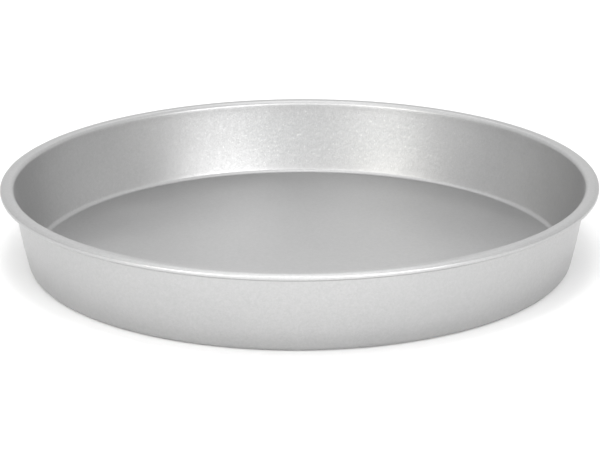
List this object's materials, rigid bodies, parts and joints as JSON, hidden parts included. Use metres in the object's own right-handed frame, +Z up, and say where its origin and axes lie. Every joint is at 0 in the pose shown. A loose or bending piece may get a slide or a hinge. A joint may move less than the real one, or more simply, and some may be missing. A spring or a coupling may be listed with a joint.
{
  "type": "round cake tin",
  "caption": "Shallow round cake tin in satin silver coated sheet steel, with a sloping, slightly bowed wall, a flat floor and a rolled rim closed over a steel wire.",
  "frame": {"origin": "centre of the flat underside, where the tin stands", "axes": "+Z up along the tin's axis of revolution, +X to the right in the picture, +Y away from the camera; the wire's butted ends are at +Y"},
  "size_m": [0.26, 0.26, 0.0354],
  "materials": {
    "coated_sheet": "satin silver-grey metallic non-stick coating on sheet steel",
    "wire_steel": "bright drawn wire"
  },
  "bodies": {
    "root": {"pan_body": "coated_sheet", "rim_wire": "wire_steel"}
  },
  "joints": []
}
